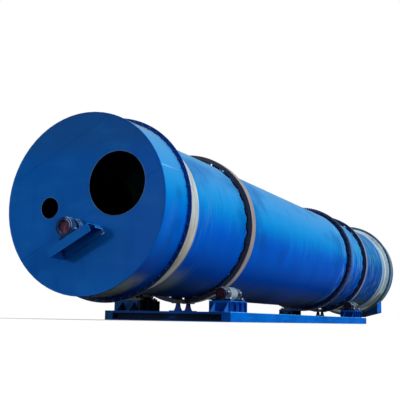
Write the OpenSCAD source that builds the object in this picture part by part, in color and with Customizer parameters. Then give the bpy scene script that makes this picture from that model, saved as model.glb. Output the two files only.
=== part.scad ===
/* [Frame] */
// Length of the base frame along the drum
base_l = 10440; // [9400:40:12600]
// Width of the base frame over its side beams
base_w = 2630; // [2540:10:2900]
// Height of the base beams
beam_h = 180; // [160:5:220]
// Width of the box-section side beams
side_w = 170; // [150:5:200]
// Wall of the box-section side beams
side_wall = 9; // [6:1:12]
// Height of the drum axis above the frame's underside
axis_h = 1800; // [1780:5:2100]

/* [Cross beams] */
// Width of an end cross beam along the drum
end_beam_w = 110; // [80:5:140]
// Height of the upper lip of an end cross beam
lip_top = 55; // [30:5:70]
// Height of the lower lip of an end cross beam
lip_low = 40; // [25:5:60]
// Wall of the cross beams
cross_wall = 10; // [6:1:14]
// Flange width of an inner cross beam
cross_w = 140; // [100:5:170]

/* [Anchor holes] */
// Diameter of an anchor hole
anchor_d = 28; // [20:1:36]
// Distance of the outer anchor holes from the frame's ends
anchor_inset = 160; // [130:5:300]
// Distance of the inner anchor holes from the frame's middle
anchor_mid = 1500; // [1000:50:2400]
// Diameter of a hand hole above an anchor hole
hand_hole_d = 90; // [70:5:110]

/* [Drum shell] */
// Outer diameter of the drum shell
shell_d = 2700; // [2200:10:2720]
// Wall of the drum shell
shell_t = 14; // [10:1:20]
// Length of the drum shell
drum_l = 15600; // [14600:40:18800]
// Distance of the drum's front end ahead of the frame's middle
drum_lead = 7430; // [6800:10:7800]
// Length of each bare sealing band past the hood flange
band_l = 610; // [300:10:800]
// Thickness of each bare sealing band
band_t = 6; // [4:1:12]

/* [Inner cylinders] */
// Outer diameter of the middle cylinder
middle_d = 1900; // [1700:20:2200]
// Outer diameter of the inner cylinder
inner_d = 1100; // [900:20:1300]
// Wall of the middle and inner cylinders
tube_t = 8; // [6:1:12]
// Distance of the middle cylinder behind the drum's front end
middle_start = 620; // [500:20:900]
// Distance of the middle cylinder's closed end ahead of the drum's rear end
middle_stop = 800; // [600:20:1200]
// Distance of the inner cylinder's open end ahead of the middle cylinder's end
inner_stop = 700; // [500:20:1000]
// Thickness of the drum head and of the middle cylinder's end plate
head_t = 12; // [8:1:20]
// Number of lifting flights in the inner cylinder
flight_n = 8; // [6:1:10]
// Height of a lifting flight
flight_h = 100; // [60:5:130]
// Thickness of a lifting flight
flight_t = 8; // [6:1:12]
// Number of spider stations that carry the inner cylinders
spider_n = 4; // [3:1:5]
// Number of struts in each spider
strut_n = 6; // [4:1:8]
// Length of a strut along the drum
strut_l = 120; // [80:10:200]
// Thickness of a strut
strut_t = 16; // [10:1:24]

/* [Tyres] */
// Outer diameter of the tyres
tyre_d = 2924; // [2850:2:2940]
// Radial thickness of the tyres
tyre_t = 80; // [50:2:90]
// Width of the tyres
tyre_w = 180; // [160:4:240]
// Distance of the front tyre's middle behind the frame's front end
tyre_inset_front = 735; // [700:5:1000]
// Distance of the rear tyre's middle ahead of the frame's rear end
tyre_inset_rear = 405; // [405:5:800]
// Number of pads under each tyre
pad_n = 30; // [20:1:36]
// Angle that a pad takes, in degrees
pad_angle = 5; // [3:0.5:7]
// Length of a pad past each face of its tyre
pad_proud = 45; // [20:5:60]

/* [Girth gear] */
// Module of the girth gear
gear_module = 20; // [18:1:22]
// Number of teeth of the girth gear
gear_teeth = 145; // [142:1:150]
// Face width of the girth gear
gear_w = 220; // [100:10:240]
// Radial thickness of the gear rim under the teeth
gear_rim = 35; // [20:5:40]
// Distance of the girth gear's middle ahead of the rear tyre's middle
gear_gap = 1850; // [1200:10:3000]
// Number of brackets that carry the girth gear
gear_bracket_n = 20; // [12:1:30]

/* [Carrier rollers] */
// Diameter of a carrier roller
roller_d = 260; // [220:5:300]
// Width of a carrier roller
roller_w = 300; // [280:5:340]
// Sideways distance of a carrier roller's axis from the drum axis
roller_y = 955; // [900:5:1000]
// Diameter of a carrier roller's shaft
roller_shaft_d = 90; // [70:5:110]
// Clear height between a carrier roller and its stand
roller_clear = 6; // [4:1:30]
// Edge chamfer of the rollers
roller_chamfer = 6; // [2:1:10]
// Distance of a bearing's middle from its roller's middle
bearing_x = 284; // [270:2:300]
// Width of a bearing housing along its shaft
bearing_w = 140; // [100:4:180]
// Outer radius of a bearing housing
bearing_r = 112; // [95:1:135]
// Length of a bearing housing's foot across its shaft
bearing_foot = 380; // [300:10:400]
// Width of a bearing housing's neck as a share of its round's width
bearing_neck = 0.8; // [0.7:0.05:1]
// Thickness of a bearing housing's foot
bearing_foot_h = 36; // [24:2:50]
// Diameter of a bearing's end cap
cap_d = 164; // [110:2:180]
// Depth of a bearing's end cap
cap_l = 20; // [10:1:30]

/* [Roller stands] */
// Length of a roller stand along the drum
stand_l = 810; // [780:10:860]
// Width of a roller stand
stand_w = 440; // [400:2:480]
// Plate thickness of a roller stand
stand_plate = 16; // [10:1:25]
// Distance of a stand's side webs from its edges
stand_web_in = 60; // [30:5:90]
// Foot length of a triangular gusset on a stand's front end
gusset_l = 200; // [120:10:220]
// Distance between the two gussets of a stand
gusset_spread = 270; // [180:5:320]
// Distance of the gussets' middle outside their stand's middle
gusset_out = 35; // [0:5:40]
// Number of ribs on each side of a stand
stand_rib_n = 4; // [2:1:5]

/* [Thrust rollers] */
// Diameter of a thrust roller
thrust_d = 260; // [180:5:280]
// Height of a thrust roller
thrust_h = 72; // [60:2:80]
// Clear height between a thrust roller and the pads above it
thrust_clear = 10; // [8:1:20]
// Diameter of a thrust roller's pin
thrust_pin_d = 40; // [40:5:80]
// Width of a thrust stand at its foot
thrust_foot_w = 170; // [140:5:200]
// Width of a thrust stand at its top
thrust_top_w = 60; // [56:2:110]
// Thickness of a thrust stand's foot plate
thrust_plate = 22; // [16:2:30]
// Length of a thrust stand's foot plate across the frame
thrust_plate_l = 300; // [240:10:340]

/* [Hoods] */
// Outer diameter of the hoods
hood_d = 2900; // [2860:10:2920]
// Wall of the hood shells
hood_t = 10; // [6:1:14]
// Length of a hood from its end plate to its flange
hood_l = 710; // [620:10:900]
// Distance that a hood reaches over the drum's end
hood_overlap = 132; // [110:2:160]
// Outer diameter of the hood flanges
hood_flange_d = 3054; // [3040:2:3120]
// Thickness of the hood flanges
hood_flange_t = 20; // [12:2:30]
// Thickness of the hood end plates
plate_t = 12; // [8:1:20]
// Turn of the front hood about the drum axis, in degrees
hood_turn = 28.5; // [0:0.5:40]

/* [Front ports] */
// Diameter of the hot-gas port
gas_d = 1000; // [800:10:1040]
// Sideways place of the hot-gas port
gas_right = 653; // [600:1:700]
// Height of the hot-gas port against the drum axis
gas_up = -41; // [-80:1:20]
// Diameter of the feed port
feed_d = 334; // [250:2:400]
// Sideways place of the feed port
feed_left = 586; // [500:1:640]
// Height of the feed port against the drum axis
feed_up = 252; // [220:1:300]

/* [Front bracket] */
// Length of the bracket shelf
shelf_l = 808; // [740:2:860]
// Reach of the bracket shelf from the end plate
shelf_reach = 380; // [350:5:420]
// Depth of the shelf's front lip
shelf_lip = 142; // [100:2:160]
// Plate thickness of the shelf
shelf_t = 12; // [8:1:16]
// Drop of the shelf's top below the drum axis
shelf_drop = 492; // [470:1:530]
// Sideways place of the shelf's middle to the left of the axis
shelf_left = 284; // [260:1:310]
// Sideways place of the shelf bearing to the left of the axis
shelf_bearing_left = 264; // [230:1:280]
// Height of the shelf bearing's axis above the shelf
shelf_bearing_h = 159; // [156:1:190]
// Outer radius of a shelf bearing
shelf_bearing_r = 150; // [120:2:154]
// Length of a shelf bearing's foot across its shaft
shelf_foot = 320; // [280:10:380]
// Distance of the shelf's end cap behind the front bearing's face
shelf_cap_set = 40; // [20:5:60]
// Radius of the shelf's end cap
shelf_cap_r = 104; // [80:2:120]
// Height of the tab that closes the shelf's right end by the plate
shelf_tab = 60; // [40:5:90]
// Width of a shelf bearing along its shaft
shelf_bearing_w = 110; // [80:5:130]

/* [Rear hood] */
// Diameter of the exhaust port
exhaust_d = 1000; // [800:10:1100]
// Height of the exhaust port above the drum axis
exhaust_up = 500; // [300:10:600]
// Reach of the discharge hopper to the right
hopper_right = 1030; // [900:2:1060]
// Reach of the discharge hopper to the left
hopper_left = 360; // [320:2:460]
// Height of the hopper's side edges above the frame's underside
hopper_side_z = 382; // [360:2:420]
// Reach of the discharge mouth to the right
mouth_right = 445; // [350:5:500]
// Reach of the discharge mouth to the left
mouth_left = 200; // [150:5:260]
// Height of the discharge mouth above the frame's underside
mouth_z = 225; // [200:5:280]
// Wall of the hopper
hopper_t = 8; // [6:1:12]
// Width of the discharge mouth's flange
mouth_flange = 40; // [25:1:60]

/* [Hidden] */

$fn = 240;
// Clearance between round faces that seat on each other
seat = 0.3;
// Running clearance between pieces that turn past each other
run = 0.4;
// Overrun of a cutting shape past the faces that it opens
over = 5;

shell_r = shell_d / 2;
shell_in = shell_r - shell_t;
drum_x0 = -drum_lead;
drum_x1 = drum_x0 + drum_l;
tyre_r = tyre_d / 2;
tyre_in = tyre_r - tyre_t;
tyre_x_front = -base_l / 2 + tyre_inset_front;
tyre_x_rear = base_l / 2 - tyre_inset_rear;
gear_x = tyre_x_rear - gear_gap;
band_r = shell_r + seat + band_t;

middle_r = middle_d / 2;
inner_r = inner_d / 2;
middle_x0 = drum_x0 + middle_start;
middle_x1 = drum_x1 - middle_stop;
inner_x1 = middle_x1 - inner_stop;

roller_r = roller_d / 2;
contact_r = tyre_r + roller_r + run;
roller_z = axis_h - sqrt(pow(contact_r, 2) - pow(roller_y, 2));
bearing_out = bearing_x + bearing_w / 2;
bearing_h = roller_r + roller_clear;
stand_top = roller_z - bearing_h;
stand_h = stand_top - beam_h;
gusset_rise = 0.85;

thrust_r = thrust_d / 2;
thrust_x = tyre_w / 2 + thrust_r + run;
thrust_top = axis_h - tyre_in - thrust_clear;
thrust_z = thrust_top - thrust_h;
thrust_stand_top = thrust_z - run;
waist_share = 0.15;

front_flange_x = drum_x0 + hood_overlap - hood_flange_t;
front_plate_x = front_flange_x - hood_l;
rear_flange_x = drum_x1 - hood_overlap;
rear_plate_x = rear_flange_x + hood_flange_t + hood_l;
hood_r = hood_d / 2;
hood_in = hood_r - hood_t;
hopper_inset = 30;
shelf_bearing_in = 60;
hopper_x0 = rear_flange_x + hood_flange_t + hopper_inset;
hopper_x1 = rear_plate_x - plate_t - hopper_inset;
hopper_in_x0 = hopper_x0 + hopper_t;
hopper_in_x1 = hopper_x1 - hopper_t;

// ---- shared shapes ----

// A ring about the drum axis from x0 to x1
module ring(x0, x1, r_out, r_in) {
    translate([x0, 0, axis_h]) rotate([0, 90, 0]) difference() {
        cylinder(h = x1 - x0, r = r_out);
        translate([0, 0, -over]) cylinder(h = x1 - x0 + 2 * over, r = r_in);
    }
}

// A round bar along X that starts at the origin
module bar_x(l, r) {
    rotate([0, 90, 0]) cylinder(h = l, r = r);
}

// An outline drawn across the frame in Y and Z, carried along X from x0 to x1
module along_x(x0, x1) {
    translate([x0, 0, 0]) rotate([90, 0, 90]) linear_extrude(height = x1 - x0) children();
}

// An outline drawn along the frame in X and Z, carried across from y0 to y1
module along_y(y0, y1) {
    translate([0, y1, 0]) rotate([90, 0, 0]) linear_extrude(height = y1 - y0) children();
}

// Places its children on the front hood, turned as the hood is, with Y to the left and Z up
module on_front_hood() {
    translate([0, 0, axis_h]) rotate([-hood_turn, 0, 0]) children();
}

// ---- base frame ----

// A box-section side beam with closed ends, anchor holes below and hand holes on its inner side
module side_beam(side) {
    y_mid = side * (base_w - side_w) / 2;
    y_in = side * (base_w / 2 - side_w);
    difference() {
        translate([-base_l / 2, y_mid - side_w / 2, 0]) cube([base_l, side_w, beam_h]);
        translate([-base_l / 2 + side_wall, y_mid - side_w / 2 + side_wall, side_wall])
            cube([base_l - 2 * side_wall, side_w - 2 * side_wall, beam_h - 2 * side_wall]);
        for (x = [-base_l / 2 + anchor_inset, -anchor_mid, anchor_mid, base_l / 2 - anchor_inset]) {
            translate([x, y_mid, -over]) cylinder(h = side_wall + 2 * over, d = anchor_d);
            translate([x, y_in, beam_h / 2]) rotate([90, 0, 0])
                cylinder(h = 4 * side_wall, d = hand_hole_d, center = true);
        }
    }
}

// A lipped channel between the side beams, open towards the frame's end
module end_beam(end) {
    inner = base_w / 2 - side_w;
    x_out = end * base_l / 2;
    w = end_beam_w;
    t = cross_wall;
    along_y(-inner, inner) translate([x_out, 0]) scale([-end, 1, 1]) polygon([
        [0, 0], [w, 0], [w, beam_h], [0, beam_h],
        [0, beam_h - lip_top], [t, beam_h - lip_top], [t, beam_h - t], [w - t, beam_h - t],
        [w - t, t], [t, t], [t, lip_low], [0, lip_low]
    ]);
}

// An I-section beam between the side beams
module cross_beam(x) {
    inner = base_w / 2 - side_w;
    f = cross_w / 2;
    t = cross_wall;
    along_y(-inner, inner) translate([x, 0]) polygon([
        [-f, 0], [f, 0], [f, t], [t / 2, t], [t / 2, beam_h - t], [f, beam_h - t],
        [f, beam_h], [-f, beam_h], [-f, beam_h - t], [-t / 2, beam_h - t], [-t / 2, t], [-f, t]
    ]);
}

// The two beams under one roller station
module station_beams(x) {
    cross_beam(x - thrust_x);
    cross_beam(x + thrust_x);
}

// ---- roller stations ----

// A welded stand: foot and top plates, end plates, side webs, ribs, and gussets on its front end
module stand(x, side) {
    p = stand_plate;
    h = stand_h;
    web_y = stand_w / 2 - stand_web_in;
    rib_step = (stand_l - p) / (stand_rib_n - 1);
    translate([x, side * roller_y, beam_h]) {
        translate([-stand_l / 2, -stand_w / 2, 0]) cube([stand_l, stand_w, p]);
        translate([-stand_l / 2, -stand_w / 2, h - p]) cube([stand_l, stand_w, p]);
        for (end = [-1, 1]) {
            translate([end * (stand_l - p) / 2 - p / 2, -stand_w / 2, 0]) cube([p, stand_w, h]);
            translate([-stand_l / 2, end * web_y - p / 2, 0]) cube([stand_l, p, h]);
        }
        for (end = [-1, 1]) stand_gusset(side * gusset_out + end * gusset_spread / 2 - p / 2, h);
        for (i = [0:stand_rib_n - 1])
            translate([-stand_l / 2 + i * rib_step, -stand_w / 2, 0]) cube([p, stand_w, h]);
    }
}

// A triangular gusset that stands out from a stand's front end plate
module stand_gusset(y, h) {
    reach = -stand_l / 2 - gusset_l;
    along_y(y, y + stand_plate) polygon([
        [-stand_l / 2, 0], [reach, 0], [reach, stand_plate], [-stand_l / 2, h * gusset_rise]
    ]);
}

// A bearing housing on a flat foot, its axis along X at height h, its middle at x
module bearing_housing(x, h, w, r, foot, foot_h, bore_d) {
    difference() {
        union() {
            translate([x - w / 2, 0, h]) bar_x(w, r);
            translate([x - w / 2, -r * bearing_neck, 0]) cube([w, 2 * r * bearing_neck, h]);
            translate([x - w / 2, -foot / 2, 0]) cube([w, foot, foot_h]);
        }
        translate([x - w / 2 - over, 0, h]) bar_x(w + 2 * over, bore_d / 2);
    }
}

// The two housings that carry one roller
module bearings(x, side) {
    for (end = [-1, 1])
        translate([x, side * roller_y, stand_top])
            bearing_housing(end * bearing_x, bearing_h, bearing_w, bearing_r,
                bearing_foot, bearing_foot_h, roller_shaft_d + 2 * seat);
}

// A round end cap against the outer face of a bearing housing
module bearing_cap(x, side, end) {
    start = end > 0 ? bearing_out : -bearing_out - cap_l;
    translate([x + start, side * roller_y, roller_z]) bar_x(cap_l, cap_d / 2);
}

// A chamfered roller barrel about Z, centred on its own middle
module barrel(r, l, c) {
    rotate_extrude() polygon([
        [0, -l / 2], [r - c, -l / 2], [r, -l / 2 + c], [r, l / 2 - c], [r - c, l / 2], [0, l / 2]
    ]);
}

// A carrier roller with its shaft
module roller(x, side) {
    translate([x, side * roller_y, roller_z]) rotate([0, 90, 0]) {
        barrel(roller_r, roller_w, roller_chamfer);
        cylinder(h = 2 * bearing_out - 2 * run, r = roller_shaft_d / 2, center = true);
    }
}

// A tapered stand for a thrust roller, bored for its pin
module thrust_stand(x) {
    top = thrust_stand_top - beam_h;
    waist = (thrust_foot_w - thrust_top_w) * waist_share;
    translate([x, 0, beam_h]) difference() {
        union() {
            translate([-thrust_foot_w / 2, -thrust_plate_l / 2, 0])
                cube([thrust_foot_w, thrust_plate_l, thrust_plate]);
            along_x(-thrust_top_w / 2, thrust_top_w / 2) polygon([
                [-thrust_foot_w / 2, 0], [thrust_foot_w / 2, 0],
                [thrust_top_w / 2 + waist, top / 2], [thrust_top_w / 2, top],
                [-thrust_top_w / 2, top], [-thrust_top_w / 2 - waist, top / 2]
            ]);
        }
        translate([0, 0, thrust_plate]) cylinder(h = top, d = thrust_pin_d + 2 * seat);
    }
}

// A thrust roller that lies on its stand, with its pin down in the stand's bore
module thrust_roller(x) {
    pin_l = thrust_z - beam_h - thrust_plate - run;
    translate([x, 0, thrust_z + thrust_h / 2]) barrel(thrust_r, thrust_h, roller_chamfer);
    translate([x, 0, thrust_z - pin_l]) cylinder(h = pin_l + thrust_h, d = thrust_pin_d);
}

// ---- drum ----

// The lifting flights that line the inner cylinder
module flights() {
    for (i = [0:flight_n - 1])
        translate([drum_x0, 0, axis_h]) rotate([i * 360 / flight_n, 0, 0])
            translate([0, -flight_t / 2, inner_r - tube_t - flight_h])
                cube([inner_x1 - drum_x0, flight_t, flight_h + tube_t / 2]);
}

// A ring of struts between two cylinders at x
module spider(x, r_in, r_out) {
    for (i = [0:strut_n - 1])
        translate([x, 0, axis_h]) rotate([(i + 0.5) * 360 / strut_n, 0, 0]) intersection() {
            translate([0, -strut_t / 2, 0]) cube([strut_l, strut_t, r_out]);
            rotate([0, 90, 0]) difference() {
                cylinder(h = strut_l, r = r_out);
                translate([0, 0, -over]) cylinder(h = strut_l + 2 * over, r = r_in);
            }
        }
}

// A ring of pads between the shell and a tyre or gear at x
module pads(x, half_l, r_out, n) {
    sweep = pad_angle / 2;
    for (i = [0:n - 1])
        translate([x - half_l, 0, axis_h]) rotate([(i + 0.5) * 360 / n, 0, 0]) rotate([0, 90, 0])
            intersection() {
                difference() {
                    cylinder(h = 2 * half_l, r = r_out - seat);
                    translate([0, 0, -over]) cylinder(h = 2 * half_l + 2 * over, r = shell_r + seat);
                }
                linear_extrude(height = 2 * half_l) polygon([
                    [0, 0], 2 * r_out * [cos(sweep), -sin(sweep)], 2 * r_out * [cos(sweep), sin(sweep)]
                ]);
            }
}

// The outline of the girth gear, with straight-sided teeth
function gear_points() = let(
    tip = gear_module * (gear_teeth + 2) / 2,
    root = gear_module * (gear_teeth - 2.5) / 2,
    pitch = 360 / gear_teeth
) [
    for (i = [0:gear_teeth - 1], k = [0:3]) let(
        a = (i + [-0.34, -0.14, 0.14, 0.34][k]) * pitch,
        r = k == 0 || k == 3 ? root : tip
    ) r * [cos(a), sin(a)]
];
gear_in = gear_module * (gear_teeth - 2.5) / 2 - gear_rim;

module girth_gear_body() {
    translate([gear_x - gear_w / 2, 0, axis_h]) rotate([0, 90, 0]) difference() {
        linear_extrude(height = gear_w) polygon(gear_points());
        translate([0, 0, -over]) cylinder(h = gear_w + 2 * over, r = gear_in);
    }
}

// ---- hoods ----

// A round end plate from x, with its holes cut by the children
module end_plate(x) {
    difference() {
        translate([x, 0, axis_h]) bar_x(plate_t, hood_r);
        children();
    }
}

// A cutter for a port through an end plate at x
module port(x, y, z, d) {
    translate([x - over, y, z]) bar_x(plate_t + 2 * over, d / 2);
}

// The bracket shelf: a top plate, a front lip, a back strip, a left cheek and a right tab
module shelf_body() {
    t = shelf_t;
    x0 = front_plate_x - shelf_reach;
    on_front_hood() translate([x0, shelf_left - shelf_l / 2, -shelf_drop]) {
        translate([0, 0, -t]) cube([shelf_reach, shelf_l, t]);
        translate([0, 0, -shelf_lip]) cube([t, shelf_l, shelf_lip]);
        translate([shelf_reach - t, 0, -shelf_lip]) cube([t, shelf_l, shelf_lip]);
        translate([0, shelf_l - t, -shelf_lip]) cube([shelf_reach, t, shelf_lip]);
        translate([shelf_reach / 2, 0, -shelf_tab]) cube([shelf_reach / 2, t, shelf_tab]);
    }
}

// Places its children at the foot of the shelf bearings
module on_shelf() {
    on_front_hood() translate([front_plate_x, shelf_bearing_left, -shelf_drop]) children();
}

// The discharge hopper's outline in Y and Z, inset by t
module hopper_outline(t) {
    top = axis_h;
    polygon([
        [-hopper_right + t, top], [-hopper_right + t, hopper_side_z], [-mouth_right + t, mouth_z],
        [mouth_left - t, mouth_z], [hopper_left - t, hopper_side_z], [hopper_left - t, top]
    ]);
}

// Cuts its children, parts of the hopper, off where they meet the rear hood
module under_rear_hood() {
    difference() {
        children();
        translate([hopper_x0 - over, 0, axis_h]) bar_x(hopper_x1 - hopper_x0 + 2 * over, hood_r + seat);
    }
}

// ---- nodes ----

module side_beam_left() { color("royalblue") side_beam(1); }
module side_beam_right() { color("royalblue") side_beam(-1); }
module cross_front() { color("royalblue") end_beam(-1); }
module cross_rear() { color("royalblue") end_beam(1); }
module cross_middle() { color("royalblue") cross_beam(0); }
module cross_station_front() { color("royalblue") station_beams(tyre_x_front); }
module cross_station_rear() { color("royalblue") station_beams(tyre_x_rear); }

module stand_front_left() { color("royalblue") stand(tyre_x_front, 1); }
module stand_front_right() { color("royalblue") stand(tyre_x_front, -1); }
module stand_rear_left() { color("royalblue") stand(tyre_x_rear, 1); }
module stand_rear_right() { color("royalblue") stand(tyre_x_rear, -1); }

module bearings_front_left() { color("lightgray") bearings(tyre_x_front, 1); }
module bearings_front_right() { color("lightgray") bearings(tyre_x_front, -1); }
module bearings_rear_left() { color("lightgray") bearings(tyre_x_rear, 1); }
module bearings_rear_right() { color("lightgray") bearings(tyre_x_rear, -1); }

module bearing_caps() {
    color("indianred")
        for (x = [tyre_x_front, tyre_x_rear], side = [-1, 1], end = [-1, 1]) bearing_cap(x, side, end);
}

module roller_front_left() { color("tan") roller(tyre_x_front, 1); }
module roller_front_right() { color("tan") roller(tyre_x_front, -1); }
module roller_rear_left() { color("tan") roller(tyre_x_rear, 1); }
module roller_rear_right() { color("tan") roller(tyre_x_rear, -1); }

module thrust_stands_front() {
    color("royalblue") for (end = [-1, 1]) thrust_stand(tyre_x_front + end * thrust_x);
}
module thrust_stands_rear() {
    color("royalblue") for (end = [-1, 1]) thrust_stand(tyre_x_rear + end * thrust_x);
}
module thrust_roller_1() { color("tan") thrust_roller(tyre_x_front - thrust_x); }
module thrust_roller_2() { color("tan") thrust_roller(tyre_x_front + thrust_x); }
module thrust_roller_3() { color("tan") thrust_roller(tyre_x_rear - thrust_x); }
module thrust_roller_4() { color("tan") thrust_roller(tyre_x_rear + thrust_x); }

module drum_shell() { color("dodgerblue") ring(drum_x0, drum_x1, shell_r, shell_in); }
module drum_head() {
    color("dimgray") ring(drum_x0, drum_x0 + head_t, shell_in - seat, inner_r + seat);
}
module middle_cylinder() { color("dimgray") ring(middle_x0, middle_x1, middle_r, middle_r - tube_t); }
module middle_end() {
    color("dimgray") translate([middle_x1 - head_t, 0, axis_h]) bar_x(head_t, middle_r - tube_t - seat);
}
module inner_cylinder() {
    color("dimgray") {
        ring(drum_x0, inner_x1, inner_r, inner_r - tube_t);
        flights();
    }
}
module spiders() {
    step = (inner_x1 - middle_x0 - strut_l) / (spider_n - 1);
    color("dimgray") for (i = [0:spider_n - 1]) {
        spider(middle_x0 + i * step, inner_r + seat, middle_r - tube_t - seat);
        spider(middle_x0 + i * step, middle_r + seat, shell_in - seat);
    }
}
module band_front() {
    x0 = drum_x0;
    color("tan") ring(x0, front_flange_x + hood_flange_t + band_l, band_r, shell_r + seat);
}
module band_rear() { color("tan") ring(rear_flange_x - band_l, drum_x1, band_r, shell_r + seat); }
module tyre_front() {
    color("saddlebrown") ring(tyre_x_front - tyre_w / 2, tyre_x_front + tyre_w / 2, tyre_r, tyre_in);
}
module tyre_rear() {
    color("saddlebrown") ring(tyre_x_rear - tyre_w / 2, tyre_x_rear + tyre_w / 2, tyre_r, tyre_in);
}
module pads_front() { color("navy") pads(tyre_x_front, tyre_w / 2 + pad_proud, tyre_in, pad_n); }
module pads_rear() { color("navy") pads(tyre_x_rear, tyre_w / 2 + pad_proud, tyre_in, pad_n); }
module girth_gear() { color("midnightblue") girth_gear_body(); }
module gear_brackets() { color("navy") pads(gear_x, gear_w / 2 + pad_proud, gear_in, gear_bracket_n); }

module front_plate() {
    color("steelblue") end_plate(front_plate_x) {
        on_front_hood() port(front_plate_x, -gas_right, gas_up, gas_d);
        on_front_hood() port(front_plate_x, feed_left, feed_up, feed_d);
    }
}
module front_hood_shell() {
    color("deepskyblue") ring(front_plate_x + plate_t, front_flange_x, hood_r, hood_in);
}
module front_flange() {
    color("midnightblue")
        ring(front_flange_x, front_flange_x + hood_flange_t, hood_flange_d / 2, band_r + run);
}
module shelf() { color("steelblue") shelf_body(); }
module shelf_bearings() {
    w = shelf_bearing_w;
    color("lightgray") on_shelf() difference() {
        for (x = [-shelf_reach + w / 2, -w / 2 - shelf_bearing_in])
            bearing_housing(x, shelf_bearing_h, w, shelf_bearing_r, shelf_foot, bearing_foot_h,
                roller_shaft_d + 2 * seat);
        translate([-shelf_reach - over, 0, shelf_bearing_h])
            bar_x(over + shelf_cap_set + cap_l, shelf_cap_r + seat);
    }
}
module shelf_cap() {
    color("indianred") on_shelf()
        translate([-shelf_reach + shelf_cap_set, 0, shelf_bearing_h]) bar_x(cap_l, shelf_cap_r);
}
module shelf_shaft() {
    start = -shelf_reach + shelf_cap_set + cap_l + run;
    color("lightgray") on_shelf()
        translate([start, 0, shelf_bearing_h]) bar_x(-run - start, roller_shaft_d / 2);
}

module rear_plate() {
    color("steelblue") end_plate(rear_plate_x - plate_t)
        port(rear_plate_x - plate_t, 0, axis_h + exhaust_up, exhaust_d);
}
module rear_hood_shell() {
    color("deepskyblue") difference() {
        ring(rear_flange_x + hood_flange_t, rear_plate_x - plate_t, hood_r, hood_in);
        translate([hopper_in_x0, -hopper_right + hopper_t, 0])
            cube([hopper_in_x1 - hopper_in_x0, hopper_right + hopper_left - 2 * hopper_t, axis_h]);
    }
}
module rear_flange() {
    color("slategray")
        ring(rear_flange_x, rear_flange_x + hood_flange_t, hood_flange_d / 2, band_r + run);
}
module hopper_ends() {
    color("royalblue") under_rear_hood() {
        along_x(hopper_x0, hopper_in_x0) hopper_outline(0);
        along_x(hopper_in_x1, hopper_x1) hopper_outline(0);
    }
}
module hopper_sides() {
    f = mouth_flange;
    long = hopper_in_x1 - hopper_in_x0;
    mouth_w = mouth_right + mouth_left;
    color("royalblue") under_rear_hood() difference() {
        union() {
            along_x(hopper_in_x0, hopper_in_x1) hopper_outline(0);
            translate([hopper_in_x0, -mouth_right - f, mouth_z]) cube([long, mouth_w + 2 * f, hopper_t]);
        }
        along_x(hopper_in_x0 - over, hopper_in_x1 + over) hopper_outline(hopper_t);
        translate([hopper_in_x0 - over, -mouth_right + hopper_t, mouth_z - over])
            cube([long + 2 * over, mouth_w - 2 * hopper_t, 4 * over]);
    }
}

side_beam_left();
side_beam_right();
cross_front();
cross_rear();
cross_middle();
cross_station_front();
cross_station_rear();
stand_front_left();
stand_front_right();
stand_rear_left();
stand_rear_right();
bearings_front_left();
bearings_front_right();
bearings_rear_left();
bearings_rear_right();
bearing_caps();
roller_front_left();
roller_front_right();
roller_rear_left();
roller_rear_right();
thrust_stands_front();
thrust_stands_rear();
thrust_roller_1();
thrust_roller_2();
thrust_roller_3();
thrust_roller_4();
drum_shell();
drum_head();
middle_cylinder();
middle_end();
inner_cylinder();
spiders();
band_front();
band_rear();
tyre_front();
tyre_rear();
pads_front();
pads_rear();
girth_gear();
gear_brackets();
front_plate();
front_hood_shell();
front_flange();
shelf();
shelf_bearings();
shelf_cap();
shelf_shaft();
rear_plate();
rear_hood_shell();
rear_flange();
hopper_ends();
hopper_sides();
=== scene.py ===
"""Looks of a triple-pass rotary dryer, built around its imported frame."""

import logging
from dataclasses import dataclass, replace
from enum import Enum
from math import copysign, cos, pi, radians, sin, sqrt

import bmesh
import bpy
import numpy as np
from mathutils import Matrix, Vector


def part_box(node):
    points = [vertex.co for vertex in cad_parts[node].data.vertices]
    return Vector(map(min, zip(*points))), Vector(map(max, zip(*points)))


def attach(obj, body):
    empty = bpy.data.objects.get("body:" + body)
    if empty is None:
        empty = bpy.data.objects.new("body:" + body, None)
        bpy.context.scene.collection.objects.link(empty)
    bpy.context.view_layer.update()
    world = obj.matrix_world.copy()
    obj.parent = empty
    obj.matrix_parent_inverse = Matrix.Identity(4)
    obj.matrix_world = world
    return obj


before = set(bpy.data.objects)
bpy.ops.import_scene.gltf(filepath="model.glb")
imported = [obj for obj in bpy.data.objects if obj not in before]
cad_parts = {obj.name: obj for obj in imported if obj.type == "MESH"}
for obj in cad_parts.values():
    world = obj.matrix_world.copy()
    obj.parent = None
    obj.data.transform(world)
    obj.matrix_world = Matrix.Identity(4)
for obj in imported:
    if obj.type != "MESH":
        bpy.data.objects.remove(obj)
LOG = logging.getLogger("dryer")

Colour = tuple[float, float, float]
Point = tuple[float, float, float]
Pair = tuple[float, float]
Outline = tuple[Pair, ...]
Scale = float | Pair | Point  # patterns per metre: everywhere, along X and across it, or along each axis
Socket = bpy.types.NodeSocket
Term = float | Socket
TURN = 2 * pi
AXIS_Z = (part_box("drum_shell")[0].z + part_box("drum_shell")[1].z) / 2
HOOD_TURN = radians(28.5)
SUNK = 0.0005  # between a fitted piece's foot and the face behind it
PROUD = 0.001  # between a detail and the round or face that it belongs to
RING_STEPS = 240
WELD_STEP = 0.04  # from one row of a weld's corners to the next
CREASE = radians(40)
MERGED = 1e-5  # the distance under which two corners are one


class End(Enum):
    """An end of the dryer, and the way that it faces along X."""

    FRONT = -1
    REAR = 1

    @property
    def word(self) -> str:
        """The end's name, as the nodes have it."""
        return self.name.lower()

    @property
    def outward(self) -> Point:
        """The direction that a face on this end looks in."""
        return (self.value, 0, 0)


# ---- shapes ----


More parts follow.
